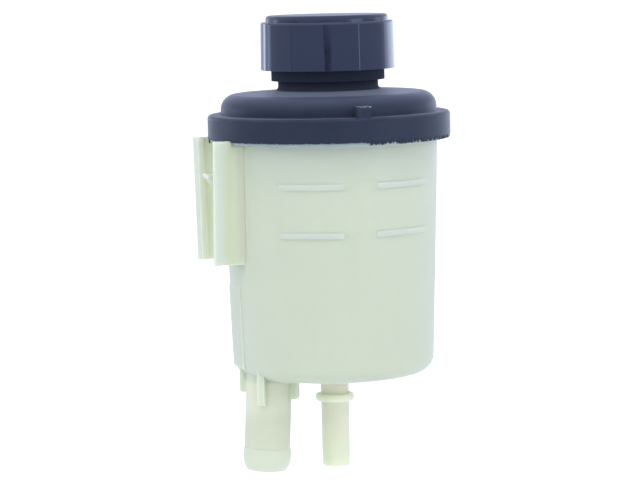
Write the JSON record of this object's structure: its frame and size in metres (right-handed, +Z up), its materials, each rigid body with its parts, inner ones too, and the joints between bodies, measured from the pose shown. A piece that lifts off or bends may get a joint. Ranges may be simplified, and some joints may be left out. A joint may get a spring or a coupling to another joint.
{
  "type": "power steering reservoir",
  "caption": "Round translucent fluid reservoir with a black welded lid, a screw cap, hose nipples under the floor and slotted rails for a bracket.",
  "frame": {"origin": "centre of the lower face of the stop collar on the return nipple", "axes": "+Z up the reservoir's axis to the cap, -Z the way a hose leaves the return nipple, -X towards the bracket rails, -Y towards the level marks"},
  "size_m": [0.0952, 0.0918, 0.172],
  "materials": {
    "body_plastic": "natural milky plastic, slightly translucent, satin",
    "lid_plastic": "fine matte black moulding",
    "cap_plastic": "semi-gloss black moulding",
    "seal_rubber": "soft black rubber",
    "valve_rubber": "red-brown silicone rubber",
    "vent_plastic": "natural white moulding",
    "strainer_plastic": "natural moulding",
    "strainer_cloth": "fine woven filter cloth"
  },
  "bodies": {
    "reservoir": {"reservoir_body": "body_plastic", "reservoir_lid": "lid_plastic", "strainer_frame": "strainer_plastic", "strainer_mesh": "strainer_cloth"},
    "gasket": {"cap_gasket": "seal_rubber"},
    "cap": {"filler_cap": "cap_plastic", "vent_disc": "vent_plastic", "vent_valve": "valve_rubber"}
  },
  "joints": [
    {"name": "cap_lift", "type": "slide", "parent": "reservoir", "child": "gasket", "axis": [0, 0, 1], "range_m": [0, 0.024]},
    {"name": "cap_turn", "type": "hinge", "parent": "gasket", "child": "cap", "pos_m": [0, 0, 0.14], "axis": [0, 0, 1], "range_deg": [0, 1441]}
  ],
  "couplings": [
    {"joint": "cap_turn", "follows": "cap_lift", "rad_per_m": 1047.2}
  ]
}
